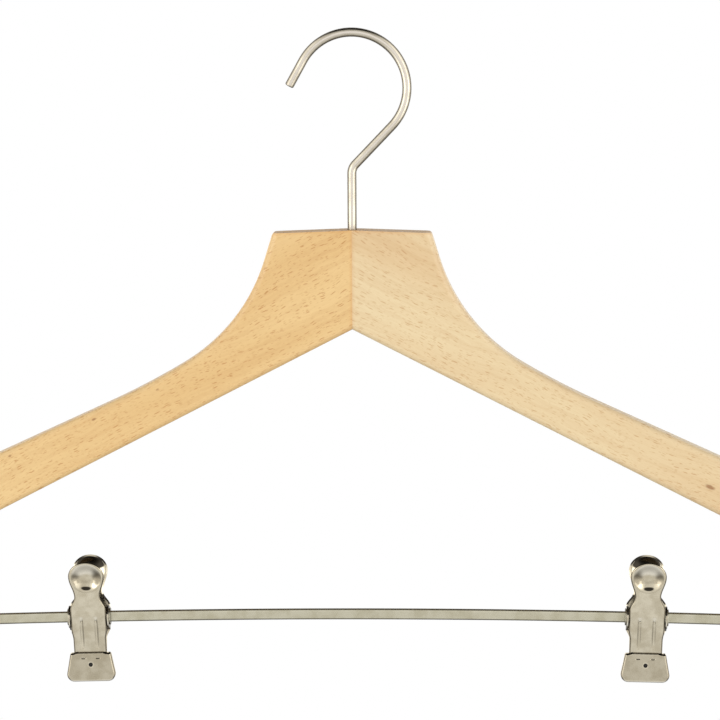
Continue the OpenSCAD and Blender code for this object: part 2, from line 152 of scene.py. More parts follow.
def resampled(points, spacing):
    """A closed loop of points at an even spacing along another closed loop."""
    loop = [Vector(p) for p in points] + [Vector(points[0])]
    lengths = [0.0]
    for a, b in zip(loop, loop[1:]):
        lengths.append(lengths[-1] + (b - a).length)
    count = round(lengths[-1] / spacing)
    out, k = [], 0
    for i in range(count):
        s = lengths[-1] * i / count
        while lengths[k + 1] < s:
            k += 1
        t = (s - lengths[k]) / max(lengths[k + 1] - lengths[k], 1e-9)
        out.append(loop[k].lerp(loop[k + 1], t))
    return out


def inward_normals(loop):
    """Inward offset directions at the points of a closed loop, lengthened at its corners."""
    longest = 2.0
    area = sum(a[0] * b[1] - b[0] * a[1] for a, b in zip(loop, loop[1:] + loop[:1]))
    turn = 1 if area > 0 else -1
    normals = []
    for i, p in enumerate(loop):
        before = (Vector(p) - Vector(loop[i - 1])).normalized()
        after = (Vector(loop[(i + 1) % len(loop)]) - Vector(p)).normalized()
        n0 = Vector((-before.y, before.x)) * turn
        n1 = Vector((-after.y, after.x)) * turn
        n = (n0 + n1).normalized()
        normals.append(n * min(1 / max(n.dot(n1), 0.1), longest))
    return normals


# ---------------------------------------- mesh building

def new_piece(name, points, faces):
    """A smooth mesh object from points in millimetres."""
    mesh = bpy.data.meshes.new(name)
    mesh.from_pydata([Vector(p) * MM for p in points], [], faces)
    mesh.validate()
    mesh.shade_smooth()
    piece = bpy.data.objects.new(name, mesh)
    bpy.context.scene.collection.objects.link(piece)
    return piece


def modifier(piece, kind, **settings):
    m = piece.modifiers.new(kind.lower(), kind)
    for key, value in settings.items():
        setattr(m, key, value)
    return m


def apply_modifiers(piece):
    graph = bpy.context.evaluated_depsgraph_get()
    mesh = bpy.data.meshes.new_from_object(piece.evaluated_get(graph))
    piece.modifiers.clear()
    piece.data = mesh


def crisp(piece, degrees):
    """Sharp where faces meet at more than an angle, and with flats that stay flat."""
    piece.data.shade_smooth()
    piece.data.set_sharp_from_angle(angle=math.radians(degrees))
    modifier(piece, "WEIGHTED_NORMAL", keep_sharp=True, mode="FACE_AREA", weight=50)


def consistent(piece):
    """Turns every face outward."""
    bm = bmesh.new()
    bm.from_mesh(piece.data)
    bmesh.ops.recalc_face_normals(bm, faces=bm.faces)
    bm.to_mesh(piece.data)
    bm.free()


def skin_faces(rings, count):
    """Quads between closed rings of count points each."""
    return [
        (r * count + k, r * count + (k + 1) % count, (r + 1) * count + (k + 1) % count, (r + 1) * count + k)
        for r in range(rings - 1)
        for k in range(count)
    ]


def swept(name, stations):
    """A closed skin over stations, each a ring of points; the ends are capped."""
    count = len(stations[0])
    points = [p for ring in stations for p in ring]
    faces = skin_faces(len(stations), count)
    faces.append(tuple(reversed(range(count))))
    faces.append(tuple(range(len(points) - count, len(points))))
    piece = new_piece(name, points, faces)
    consistent(piece)
    return piece


def in_plane_wire(name, path, section):
    """Sweeps section(i, angle) -> (across the path, along Y) along a path of [x, z] points."""
    ring_points = 40
    stations = []
    for i, p in enumerate(path):
        ahead = Vector(path[min(i + 1, len(path) - 1)])
        behind = Vector(path[max(i - 1, 0)])
        along = (ahead - behind).normalized()
        across = Vector((-along.y, along.x))
        ring = []
        for k in range(ring_points):
            u, y = section(i, 2 * math.pi * k / ring_points)
            ring.append((p[0] + across.x * u, y, p[1] + across.y * u))
        stations.append(ring)
    return swept(name, stations)


def straight(p, q, spacing=1.0):
    n = max(1, round((Vector(q) - Vector(p)).length / spacing))
    return [tuple(Vector(p).lerp(Vector(q), i / n)) for i in range(n)]


# ---------------------------------------- shader building

class Shader:
    """A material under construction: its nodes, and short ways to wire them."""

    def __init__(self, name):
        self.material = bpy.data.materials.new(name)
        self.material.use_nodes = True
        self.tree = self.material.node_tree
        self.surface = self.tree.nodes["Principled BSDF"]

    def node(self, kind, out=0, **inputs):
        made = self.tree.nodes.new("ShaderNode" + kind)
        for key, value in inputs.items():
            if key.startswith("_"):
                setattr(made, key[1:], value)
            else:
                self.put(made.inputs[int(key[1:]) if key[1:].isdigit() else key.replace("_", " ")], value)
        return made.outputs[out]

    def put(self, socket, value):
        if isinstance(value, bpy.types.NodeSocket):
            self.tree.links.new(value, socket)
        else:
            socket.default_value = value

    def math(self, operation, a, b=0.0):
        return self.node("Math", _operation=operation, i0=a, i1=b)

    def range(self, value, lo, hi, to_lo=0.0, to_hi=1.0, smooth=True):
        kind = "SMOOTHSTEP" if smooth else "LINEAR"
        return self.node("MapRange", _interpolation_type=kind, i0=value, i1=lo, i2=hi, i3=to_lo, i4=to_hi)

    def vector(self, operation, a, b=(0, 0, 0), out=0):
        return self.node("VectorMath", out, _operation=operation, i0=a, i1=b)

    def mix(self, factor, a, b):
        made = self.tree.nodes.new("ShaderNodeMix")
        made.data_type = "RGBA"
        self.put(made.inputs[0], factor)
        self.put(made.inputs[6], a)
        self.put(made.inputs[7], b)
        return made.outputs[2]

    def place(self):
        """Position on the part in millimetres."""
        return self.vector("MULTIPLY", self.node("TexCoord", 3), (1000, 1000, 1000))

    def noise(self, place, scale, detail=2.0, roughness=0.5, out=0):
        return self.node("TexNoise", out, Vector=place, Scale=scale, Detail=detail, Roughness=roughness)

    def bump(self, height, distance_mm, strength=1.0, under=None):
        made = self.node("Bump", Height=height, Distance=distance_mm * MM, Strength=strength)
        if under is not None:
            self.put(made.node.inputs["Normal"], under)
        return made

    def finish(self, **inputs):
        for key, value in inputs.items():
            self.put(self.surface.inputs[key.replace("_", " ")], value)
        return self.material


def rgb(r, g, b):
    """A display colour from 0 to 255 as a linear shader colour."""
    return tuple((v / 255) ** 2.2 for v in (r, g, b)) + (1.0,)


# ---------------------------------------- materials

def edge_wear_and_shade(shader, radius_mm):
    """1 on convex edges, 0 on flats; a mask for worn metal edges and for painted shade on wooden edges."""
    round_normal = shader.node("Bevel", Radius=radius_mm * MM)
    true_normal = shader.node("NewGeometry", 1)
    return shader.range(shader.vector("DOT_PRODUCT", round_normal, true_normal, out=1), 0.995, 0.9)


def grain_place(shader, tilt):
    """Place along (x), through (y) and across (z) the grain, bent a little as grown wood is."""
    place = shader.place()
    wander = shader.vector("SUBTRACT", shader.noise(place, 0.018, 1.0, out=1), (0.5, 0.5, 0.5))
    wander = shader.vector("MULTIPLY", wander, (6.0, 6.0, 9.0))
    ripple = shader.vector("SUBTRACT", shader.noise(place, 0.11, 2.0, out=1), (0.5, 0.5, 0.5))
    ripple = shader.vector("MULTIPLY", ripple, (1.0, 1.0, 2.6))
    place = shader.vector("ADD", shader.vector("ADD", place, wander), ripple)
    return shader.node("Mapping", Vector=place, Rotation=(0, math.radians(tilt), 0))


def flecks(shader, grain, length, width, share, seed):
    """Thin spindle-shaped ray flecks along the grain: 1 inside a fleck."""
    shifted = shader.vector("ADD", grain, (seed * 31.7, seed * 11.3, seed * 17.9))
    cells = shader.vector("MULTIPLY", shifted, (1 / length, 0.12 / width, 1 / width))
    voronoi = shader.node("TexVoronoi", Vector=cells, Scale=1.0, Randomness=1.0)
    chance = shader.node("SeparateColor", 0, Color=voronoi.node.outputs["Color"])
    size = shader.range(chance, 0.0, share, 0.40, 0.05, smooth=False)
    return shader.range(shader.math("SUBTRACT", size, voronoi), 0.0, 0.12)


def ray_marks(s, grain, seed):
    """Long and short flecks, thinned out in patches."""
    long_marks = flecks(s, grain, 4.4, 0.66, 1.0, seed)
    short_marks = flecks(s, grain, 2.4, 0.46, 0.9, seed + 0.5)
    patchy = s.range(s.noise(s.place(), 0.05, 2.0), 0.35, 0.65, 0.75, 1.0)
    marks = s.math("MAXIMUM", long_marks, s.math("MULTIPLY", short_marks, 0.75))
    return s.math("MULTIPLY", marks, patchy)


def knotted(s, colour, tilt, knots):
    """Adds small knots, each given as (x, z, half length, half height, depth of colour)."""
    for x, z, half_l, half_h, depth in knots:
        offset = s.vector("SUBTRACT", s.place(), (x, 0, z))
        offset = s.node("Mapping", Vector=offset, Rotation=(0, math.radians(tilt), 0))
        offset = s.vector("MULTIPLY", offset, (1 / half_l, 0.05, 1 / half_h))
        ragged = s.noise(s.place(), 0.9, 2.0)
        far = s.math("ADD", s.vector("LENGTH", offset, out=1), s.math("MULTIPLY", ragged, 0.5))
        colour = s.mix(s.range(far, 1.45, 0.75, 0.0, depth), colour, rgb(128, 84, 48))
    return colour


def sawn_top(s):
    """1 on the sawn end grain at the neck's top, 0 elsewhere."""
    upward = s.range(s.node("SeparateXYZ", 2, Vector=s.node("NewGeometry", 1)), 0.75, 0.95)
    return s.math("MULTIPLY", upward, s.range(s.node("SeparateXYZ", 2, Vector=s.place()), -2.0, -1.0))


def beech(name, tilt, tones, strength, seed, knots):
    """Lacquered beech with its grain at a tilt in degrees; strength is how dark its flecks are."""
    s = Shader(name)
    pale, warm, fleck = tones
    grain = grain_place(s, tilt)
    bands = s.noise(s.vector("MULTIPLY", grain, (0.006, 0.05, 0.05)), 1.0, 2.0, 0.5)
    streaks = s.noise(s.vector("MULTIPLY", grain, (0.02, 0.5, 0.5)), 1.0, 3.0, 0.6)
    fibre = s.noise(s.vector("MULTIPLY", grain, (0.16, 3.2, 3.2)), 1.0, 3.0, 0.6)
    colour = s.mix(s.range(bands, 0.30, 0.70), pale, warm)
    colour = s.mix(s.range(streaks, 0.42, 0.75, 0.0, 0.20), colour, fleck)
    colour = s.mix(s.range(fibre, 0.45, 0.80, 0.0, 0.20), colour, fleck)
    marks = ray_marks(s, grain, seed)
    colour = s.mix(s.math("MULTIPLY", marks, strength), colour, fleck)
    pores = s.node("TexVoronoi", Vector=s.vector("MULTIPLY", grain, (1.1, 7.0, 7.0)), Scale=1.0)
    pores = s.range(pores, 0.22, 0.10)
    colour = s.mix(s.math("MULTIPLY", pores, 0.20), colour, fleck)
    colour = knotted(s, colour, tilt, knots)
    seam = s.math("ABSOLUTE", s.node("SeparateXYZ", 0, Vector=s.place()))
    colour = s.mix(s.range(seam, 0.12, 0.03, 0.0, 0.12), colour, rgb(150, 108, 66))
    # Painted shade: the rounded wooden edges darkened toward a deep orange.
    colour = s.mix(s.math("MULTIPLY", edge_wear_and_shade(s, 2.5), 0.32), colour, rgb(184, 122, 58))
    sawn = sawn_top(s)
    # Darker end grain on the neck's top: partly the end grain's own colour, partly painted shade of the unlit
    # top.
    colour = s.mix(s.math("MULTIPLY", sawn, 0.55), colour, rgb(140, 100, 60))
    height = s.math("SUBTRACT", s.math("MULTIPLY", fibre, 0.6), s.math("ADD", pores, marks))
    uneven = s.bump(s.noise(s.place(), 0.22, 2.0), 0.03)
    rough = s.range(s.noise(s.vector("MULTIPLY", grain, (0.05, 0.6, 0.6)), 1.0, 3.0), 0.3, 0.7, 0.34, 0.46)
    return s.finish(
        Base_Color=colour, Roughness=rough, Normal=s.bump(height, 0.012, under=uneven),
        Specular_IOR_Level=s.range(sawn, 0.0, 1.0, 0.35, 0.12),
        Coat_Weight=s.range(sawn, 0.0, 1.0, 0.25, 0.0), Coat_Roughness=0.22, Coat_Normal=uneven,
    )


def plated_wire(name, colour, shade, middle=0.0):
    """Satin nickel plate on drawn wire: mottled, worn at its ends, and with painted shade where it turns away
    from the viewer.

    middle is the strength of a painted highlight, paler where the wire faces the viewer.
    """
    s = Shader(name)
    place = s.place()
    cloud = s.noise(place, 0.16, 3.0, 0.6)
    grit = s.noise(place, 7.0, 3.0, 0.7)
    tone = s.mix(s.range(cloud, 0.35, 0.7), colour, shade)
    tone = s.mix(s.math("MULTIPLY", edge_wear_and_shade(s, 0.25), 0.5), tone, rgb(222, 219, 208))
    turned = s.node("LayerWeight", "Facing")
    # Painted highlight: paler where the wire faces the viewer.
    tone = s.mix(s.range(turned, 0.0, 0.05, middle, 0.0), tone, rgb(241, 233, 226))
    # Painted shade: darker where the wire turns away from the viewer.
    tone = s.mix(s.range(turned, 0.06, 0.5, 0.0, 0.85, smooth=False), tone, rgb(84, 78, 66))
    rough = s.math("ADD", s.range(cloud, 0.3, 0.7, 0.21, 0.31),
                   s.math("MULTIPLY", s.math("SUBTRACT", grit, 0.5), 0.12))
    scratches = s.noise(s.vector("MULTIPLY", place, (0.5, 9.0, 9.0)), 1.0, 2.0, 0.6)
    normal = s.bump(scratches, 0.0012, 0.5, under=s.bump(grit, 0.0015, 0.6))
    return s.finish(Base_Color=tone, Metallic=1.0, Roughness=rough, Normal=normal)


def painted_reflections(s, tone):
    """Painted reflections: duller where the plate looks to the sides, near black where it looks overhead,
    pale where it looks down, and painted shade where it turns away.
    """
    mirrored = s.node("TexCoord", "Reflection")
    height = s.node("SeparateXYZ", 2, Vector=mirrored)
    aside = s.range(s.math("ABSOLUTE", s.node("SeparateXYZ", 0, Vector=mirrored)), 0.3, 0.7)
    level = s.range(height, 0.12, -0.08, 0.35, 0.9)
    # Painted reflection: duller where the plate looks to the sides, most where it looks level or down.
    tone = s.mix(s.math("MULTIPLY", aside, level), tone, rgb(126, 119, 104))
    # Painted reflection: near black where the plate looks overhead.
    tone = s.mix(s.range(height, 0.42, 0.52, 0.0, 0.94), tone, rgb(26, 23, 22))
    # Painted reflection: pale where the plate looks down to the floor.
    tone = s.mix(s.range(height, -0.62, -0.9, 0.0, 0.8), tone, rgb(252, 246, 230))
    # Painted shade: darker at rims and sides that turn away from the viewer.
    turned = s.node("LayerWeight", "Facing")
    sideways = s.math("MULTIPLY", s.range(turned, 0.10, 0.50), aside)
    rim = s.math("MAXIMUM", s.range(turned, 0.38, 0.68), sideways)
    return s.mix(s.math("MULTIPLY", rim, 0.85), tone, rgb(84, 76, 62))


def pressed_nickel(name, colour, shade):
    """Bright nickel plate on pressed sheet: polished, with fine handling scratches, painted reflections and
    painted shade in its recesses.
    """
    s = Shader(name)
    place = s.place()
    cloud = s.noise(place, 0.22, 3.0, 0.55)
    grit = s.noise(place, 9.0, 2.0, 0.6)
    tone = s.mix(s.range(cloud, 0.35, 0.7), colour, shade)
    tone = s.mix(s.math("MULTIPLY", edge_wear_and_shade(s, 0.2), 0.45), tone, rgb(228, 225, 214))
    hair = s.node("TexNoise", Vector=s.vector("MULTIPLY", place, (6.0, 6.0, 0.4)), Scale=1.0, Detail=3.0,
                  Distortion=0.6)
    hair = s.range(hair, 0.62, 0.72)
    rough = s.math("ADD", s.range(cloud, 0.3, 0.7, 0.13, 0.2), s.math("MULTIPLY", hair, 0.12))
    wavy = s.bump(s.noise(place, 0.35, 1.0), 0.05, 0.6)
    normal = s.bump(s.math("ADD", grit, s.math("MULTIPLY", hair, -0.5)), 0.003, 0.5, under=wavy)
    # Painted reflections and painted shade on the plate.
    tone = painted_reflections(s, tone)
    # Painted shade: darker in pits, creases and where the ears meet the sheet.
    recess_shade = s.node("AmbientOcclusion", "AO", _samples=4, Distance=1.2 * MM)
    tone = s.mix(s.range(recess_shade, 0.8, 0.3, 0.0, 0.85), tone, rgb(70, 58, 46))
    return s.finish(Base_Color=tone, Metallic=1.0, Roughness=rough, Normal=normal)


def spring_wire(name):
    """Grey plated spring wire with drawn lines."""
    s = Shader(name)
    place = s.place()
    grit = s.noise(place, 5.0, 3.0, 0.65)
    tone = s.mix(s.range(grit, 0.3, 0.75), rgb(168, 164, 152), rgb(118, 114, 104))
    rough = s.range(grit, 0.3, 0.7, 0.24, 0.38)
    return s.finish(Base_Color=tone, Metallic=1.0, Roughness=rough, Normal=s.bump(grit, 0.006))


def rubber(name):
    """Matt black rubber with a fine moulded skin and a little dust."""
    s = Shader(name)
    place = s.place()
    skin = s.noise(place, 6.0, 4.0, 0.7)
    dust = s.range(s.noise(place, 0.5, 4.0, 0.7), 0.45, 0.75)
    tone = s.mix(s.math("MULTIPLY", dust, 0.25), rgb(30, 29, 28), rgb(92, 89, 84))
    rough = s.range(skin, 0.3, 0.7, 0.62, 0.8)
    return s.finish(Base_Color=tone, Roughness=rough, Normal=s.bump(skin, 0.02), Specular_IOR_Level=0.4)


def glowing_floor(name):
    """Pale studio floor that fades out at its rim and glows as a painted light from below, brightest ahead of
    and behind the hanger. Only the camera sees it pale all over.
    """
    s = Shader(name)
    place = s.node("TexCoord", 3)
    mottle = s.noise(place, 14.0, 3.0)
    tone = s.mix(mottle, rgb(246, 246, 245), rgb(250, 250, 249))
    seen = s.node("LightPath", "Is Camera Ray")
    ahead = s.node("SeparateXYZ", 1, Vector=place)
    # Painted light: the floor glows to light the hanger from below, most ahead of and behind it.
    glow = s.math("MAXIMUM", s.range(ahead, -1.1, 0.5, 1.1, 0.1, smooth=False), s.range(ahead, 0.6, 1.3))
    s.finish(
        Base_Color=s.mix(seen, rgb(90, 90, 90), tone), Roughness=s.range(mottle, 0.3, 0.7, 0.6, 0.75),
        Specular_IOR_Level=0.2, Emission_Color=tone,
        Emission_Strength=s.math("MAXIMUM", glow, s.math("MULTIPLY", seen, 0.6)),
    )
    far = s.range(s.vector("LENGTH", place, out=1), 0.9, 2.0)
    clear = s.node("BsdfTransparent")
    blend = s.node("MixShader", i0=far, i1=s.surface.outputs[0], i2=clear)
    s.put(s.tree.nodes["Material Output"].inputs["Surface"], blend)
    return s.material


# ---------------------------------------- wooden arms

neck_corner = (neck_half_w, -neck_fall)
neck_foot = polar(neck_corner, neck_side, -neck_slope)
neck_centre = polar(neck_foot, neck_r, 90 - neck_slope)
shoulder_start = polar(neck_centre, -neck_r, 90 - shoulder_slope)
shoulder_centre = polar(shoulder_start, shoulder_r, 90 - shoulder_slope)
arm_start = polar(shoulder_centre, -shoulder_r, 90 - arm_slope)


def underside_z(x):
    return -apex_drop - abs(x) * math.tan(math.radians(under_slope))


def board_outline():
    """Closed loop of [x, z] round both arms, clockwise from the middle of the neck's top, left too tall."""
    top_z = arm_start[1] - (half_span - arm_start[0]) * math.tan(math.radians(arm_slope))
    tip_top = (half_span, top_z)
    tip_bottom = (half_span, underside_z(half_span))
    apex = (0.0, -apex_drop)
    spare = polar(neck_corner, neck_spare_l, 180 - neck_slope)
    neck = arc(neck_centre, neck_r, 270 - neck_slope, 270 - shoulder_slope, 32)
    shoulder = arc(shoulder_centre, shoulder_r, 270 - shoulder_slope, 270 - arm_slope, 16)
    tip = rounded_corner(arm_start, tip_top, tip_bottom, tip_r, 16)
    low_tip = rounded_corner(tip_top, tip_bottom, apex, tip_low_r, 12)
    top = straight((0, spare[1]), spare, 6.0)
    side = straight(spare, neck[0], 3.2)
    arm_top = straight(shoulder[-1], tip[0], 12.0)[1:]
    underside = straight(low_tip[-1], apex, 12.0)[1:]
    right = top[1:] + side + neck + shoulder[1:] + arm_top + tip + low_tip + underside
    return [top[0]] + right + [apex] + mirrored(right)


def board():
    """Both arms as one board with rounded edges."""
    loop = board_outline()
    inward = inward_normals(loop)
    steps = 9
    rings = []
    for face in (-1, 1):
        for i in range(steps + 1):
            a = math.radians(90 * (i if face < 0 else steps - i) / steps)
            inset = edge_r * (1 - math.sin(a))
            y = face * (board_t / 2 - edge_r * (1 - math.cos(a)))
            rings.append([(x + n.x * inset, y, z + n.y * inset) for (x, z), n in zip(loop, inward)])
    return swept("board", rings)


def above_neck():
    """What is sawn off the neck: its top slopes a little to each side and ends in a rounded corner."""
    corner = rounded_corner((0, 0), neck_corner, neck_foot, neck_corner_r, 10)
    overlap = 0.02
    past = Vector(neck_corner).normalized() * overlap
    corner = [(x + past.x, z + past.y) for x, z in corner]
    right = corner + [(2 * neck_half_w, corner[-1][1]), (2 * neck_half_w, beyond)]
    loop = [(0.0, 0.0)] + right + mirrored(right)
    return swept("above_neck", [[(x, y, z) for x, z in loop] for y in (-board_t, board_t)])


def comb(side):
    """A tall block with the glued fingers of one arm on its inner face."""
    finger_t = (board_t - 2 * lip_t) / finger_count
    far = side * (half_span + beyond)
    inner = side * half_glue_t
    y = -board_t / 2 + lip_t
    points = [(far, -board_t), (inner, -board_t), (inner, y)]
    for i in range(finger_count):
        out = -side if (i % 2 == 0) == (side > 0) else side
        x = out * finger_l + inner
        points += [(x, y), (x, y + finger_t)]
        y += finger_t
    points += [(inner, y), (inner, board_t), (far, board_t)]
    return swept("comb", [[(x, y, z) for x, y in points] for z in (-half_span, half_span)])


def drill(x, z0, z1, r):
    """An upright round tool that cuts a bore."""
    ring = 64
    return swept("drill", [[(*polar((x, 0), r, 360 * i / ring), z) for i in range(ring)] for z in (z0, z1)])


def cross_drill():
    """The tool for the cross pin's hole, open at the back."""
    lo, hi = (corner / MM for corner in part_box("hook_pin"))
    centre, r, ring = ((lo.x + hi.x) / 2, (lo.z + hi.z) / 2), (hi.x - lo.x) / 2, 48
    stations = []
    for y in (lo.y, board_t):
        points = [polar(centre, r, 360 * i / ring) for i in range(ring)]
        stations.append([(x, y, z) for x, z in points])
    return swept("cross_drill", stations)


def cut(piece, operation, tool):
    """Cuts a piece with a tool, or keeps what lies inside the tool."""
    modifier(piece, "BOOLEAN", operation=operation, object=tool, solver="EXACT")
    apply_modifiers(piece)
    bpy.data.objects.remove(tool)


def arm(side, finish):
    """One board of the hanger, sawn, fingered and drilled."""
    name = SIDES[side > 0] + "_arm"
    piece = board()
    piece.name = name + "_wood"
    cut(piece, "DIFFERENCE", above_neck())
    cut(piece, "INTERSECT", comb(side))
    cut(piece, "DIFFERENCE", drill(0, hook_lo.z - shank_gap, beyond, wire_r + shank_gap))
    cut(piece, "DIFFERENCE", cross_drill())
    leg_room = 0.5
    cut(piece, "DIFFERENCE", drill(side * leg_x, -half_span, bar_hi.z + leg_room, wire_r + leg_gap))
    crisp(piece, 32)
    piece.data.materials.clear()
    piece.data.materials.append(finish)
    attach(piece, "hanger")
    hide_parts(name)
    return piece


# ---------------------------------------- hook

def grooved_shank(shank_top):
    """The shank from its foot up, as pairs of a place [x, z] and the wire's radius there."""
    foot, chamfer, step = hook_lo.z, 0.4, 0.02
    groove_low, groove_high = -groove_depth - groove_w / 2, -groove_depth + groove_w / 2
    path = [
        ((0, foot), wire_r - chamfer), ((0, foot + chamfer), wire_r),
        ((0, groove_low - step), wire_r), ((0, groove_low), groove_r),
        ((0, groove_high), groove_r), ((0, groove_high + step), wire_r),
    ]
    return path + [(p, wire_r) for p in straight((0, -groove_depth + 2), (0, shank_top), 2.0)]


def rounded_tip(tip, along):
    """The last stations of the hook's open end, which is rounded over."""
    round_r, steps = 0.7, 6
    path = []
    for i in range(steps + 1):
        a = math.pi / 2 * i / steps
        p = tip - along * round_r * (1 - math.sin(a))
        path.append((tuple(p), wire_r - round_r * (1 - math.cos(a))))
    return path


def hook_path():
    """The whole wire, as pairs of a place [x, z] and the wire's radius there."""
    open_end = polar(hook_centre, hook_r, hook_open_angle)
    along = Vector(polar((0, 0), 1, hook_open_angle + 90))
    tip = Vector(open_end) + along * hook_tip_l
    back = polar(hook_centre, hook_r, -hook_back_angle)
    turn = math.radians(hook_back_angle)
    shank_top = back[1] - back[0] / math.tan(turn) - shank_bend_r * math.tan(turn / 2)
    bend = arc((shank_bend_r, shank_top), shank_bend_r, 180, 180 - hook_back_angle, 14)
    bow = arc(hook_centre, hook_r, -hook_back_angle, hook_open_angle, 110)
    end = rounded_tip(tip, along)
    wire = bend + straight(bend[-1], back, 1.5)[1:] + bow + straight(open_end, end[0][0], 1.5)[1:]
    return grooved_shank(shank_top) + [(p, wire_r) for p in wire] + end


def hook(finish):
    """A wire hook: grooved shank, slant, bow and open tip."""
    path = hook_path()

    def section(i, a):
        r = path[i][1]
        return r * math.cos(a), r * math.sin(a)

    piece = in_plane_wire("hook_wire", [p for p, _ in path], section)
    crisp(piece, 50)
    piece.data.materials.append(finish)
    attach(piece, "hook")
    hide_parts("hook")
    return piece


# ---------------------------------------- trouser bar

def bar(finish):
    """Flat rolled wire with a slight bow; its round ends turn up into the arms."""
    centre = (bow_centre.x, bow_centre.z)
    flat_turn = math.degrees(math.asin(flat_half_l / bow_r))
    end = Vector(polar(centre, bow_r, 90 - flat_turn))
    along = Vector(polar((0, 0), 1, -flat_turn))
    up = Vector(polar((0, 0), 1, 90 - flat_turn))
    run = (leg_x - leg_bend_r * (1 + math.sin(math.radians(flat_turn))) - end.x) / along.x
    bend_centre = end + along * run + up * leg_bend_r
    right = arc(centre, bow_r, 90, 90 - flat_turn, 60)
    right += straight(tuple(end), tuple(end + along * run), 0.8)[1:]
    right += arc(tuple(bend_centre), leg_bend_r, -90 - flat_turn, 0, 24)
    chamfer = 0.4
    leg_top = bar_hi.z - chamfer
    right += straight(right[-1], (leg_x, leg_top), 3.0)[1:]
    right += [(leg_x, leg_top), (leg_x, bar_hi.z)]
    path = mirrored(right[1:]) + right
    last = len(path) - 1
    first_point = math.pi / 40

    def section(i, a):
        x = path[i][0]
        if i in (0, last):
            return (wire_r - chamfer) * math.cos(a), (wire_r - chamfer) * math.sin(a)
        leg = abs(x) > leg_x - leg_bend_r
        flat = 0.0 if leg else 1 - ease(0, 1, (abs(x) - flat_half_l) / run_out_l)
        a += first_point
        shift = math.copysign(bar_half_h - bar_half_t, math.cos(a))
        tall = shift + bar_half_t * math.cos(a), bar_half_t * math.sin(a)
        return tuple(flat * t + (1 - flat) * wire_r * c for t, c in zip(tall, (math.cos(a), math.sin(a))))

    piece = in_plane_wire("bar_wire", path, section)
    crisp(piece, 50)
    piece.data.materials.append(finish)
    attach(piece, "hanger")
    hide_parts("bar")
    return piece


# ---------------------------------------- clips
# A clip is built with its pivot at the origin: X along the bar, Y to the back, Z across the bar.

class Seat:
    """Where one clip sits on the bar, in metres."""

    def __init__(self, side):
        joint = joints[side + "_clip_swing"]
        self.pivot = Vector(joint["pos_m"]) / MM
        along = Vector(joint["axis"])
        across = Vector((-along.z, 0, along.x))
        turn = Matrix((along, (0, 1, 0), across)).transposed().to_4x4()
        self.matrix = Matrix.Translation(self.pivot * MM) @ turn

    def put(self, piece):
        piece.data.transform(self.matrix)
        return piece

    def point(self, x, y, z):
        return self.matrix @ (Vector((x, y, z)) * MM)


seats = {side: Seat(side) for side in SIDES}


def eased_edge(stations, steps):
    """Points of an edge whose half width eases from each (half width, z) to the next."""
    points = []
    for (w0, z0), (w1, z1) in zip(stations, stations[1:]):
        points += [(ease(w0, w1, k / steps), z0 + (z1 - z0) * k / steps) for k in range(1, steps + 1)]
    return points


def jaw_outline(half_w):
    """Closed loop of [x, z] round a jaw seen from the front."""
    shoulder = (mouth_top_half_w, -crease_drop - crease_band)
    corner = rounded_corner((0, -mouth_drop), (mouth_half_w, -mouth_drop), shoulder, mouth_corner_r, 12)
    notch_r = 0.6
    crease = (crease_half_w, -crease_drop)
    notch = (mouth_top_half_w, -crease_drop - 2 * crease_band)
    right = corner + rounded_corner(corner[-1], notch, crease, notch_r, 6) + [crease]
    right += eased_edge([
        (crease_half_w, -crease_drop), (crease_half_w, flare_z), (half_w, body_low_z),
        (half_w, body_high_z), (waist_half_w, waist_z), (thumb_half_w, thumb_z),
    ], 12)
    right += [(thumb_half_w * math.cos(math.radians(a)), thumb_z + thumb_half_h * math.sin(math.radians(a)))
              for a in range(6, 90, 6)]
    return right + [(0.0, thumb_top)] + mirrored(right)


def dish(x, z, centre, rx, rz, depth, flat=2, blend=2.0):
    """Depth of a smooth bowl round a centre; a higher flat makes its bottom flatter."""
    far = math.hypot((x - centre[0]) / rx, (z - centre[1]) / rz)
    return depth * (1 - far ** flat) ** blend if far < 1 else 0.0


def bent_depth(z):
    """Depth of the plain sheet, which leans outward above the crease and more so above the bend."""
    softness = 0.242
    body = foot_y + (bend_y - foot_y) * (z + crease_drop) / (bend_z + crease_drop)
    lever = bend_y + (z - bend_z) * slant
    gap = body - lever
    bent = (body + lever - math.sqrt(gap * gap + softness)) / 2
    return max(bent, min(body, lever) - 0.2)


def channel_depth(x, z):
    """Depth of the two long channels that stiffen the sheet."""
    if not channel_low_z < z < channel_high_z:
        return 0.0
    fade = math.sin(math.pi * (z - channel_low_z) / (channel_high_z - channel_low_z)) ** 0.5
    return 0.4 * fade * math.exp(-((abs(x) - channel_x) / 0.6) ** 2)


def face_depth(x, z, rim):
    """How far the outer face of a jaw lies from the middle plane; rim is the distance to the edge."""
    step = ease(0, 1, (z + crease_drop + 2 * crease_band) / (2 * crease_band))
    depth = mouth_y * (1 - step) + (bent_depth(z) if z > -crease_drop else foot_y) * step
    depth -= dish(x, z, (0, thumb_z - 0.6), 7.1, 6.7, 2.3, 3, 2.0)
    depth -= dish(x, z, (0, hole_z), 1.6, 1.6, 0.3)
    for side in (-1, 1):
        depth -= dish(x, z, (side * eye_x, eye_z), 1.3, 0.5, 0.35, 4, 1.5)
        depth -= dish(x, z, (side * pit_x, pit_z), 0.45, 0.45, 0.25)
    depth -= channel_depth(x, z)
    roll = 1.0 if z < -crease_drop else 0.8
    if rim < roll:
        depth -= roll - math.sqrt(max(roll * roll - (roll - rim) ** 2, 0.0))
    return depth


def rim_points(outline, near):
    """Closely spaced rows that follow the outline just inside it."""
    inward = inward_normals(outline)
    points = []
    for d in (0.1, 0.25, 0.45, 0.7, 0.95, 1.2):
        for p, n in zip(outline, inward):
            q = (p[0] + n.x * d, p[1] + n.y * d)
            if near(q) > 0.93 * d:
                points.append(q)
    return points


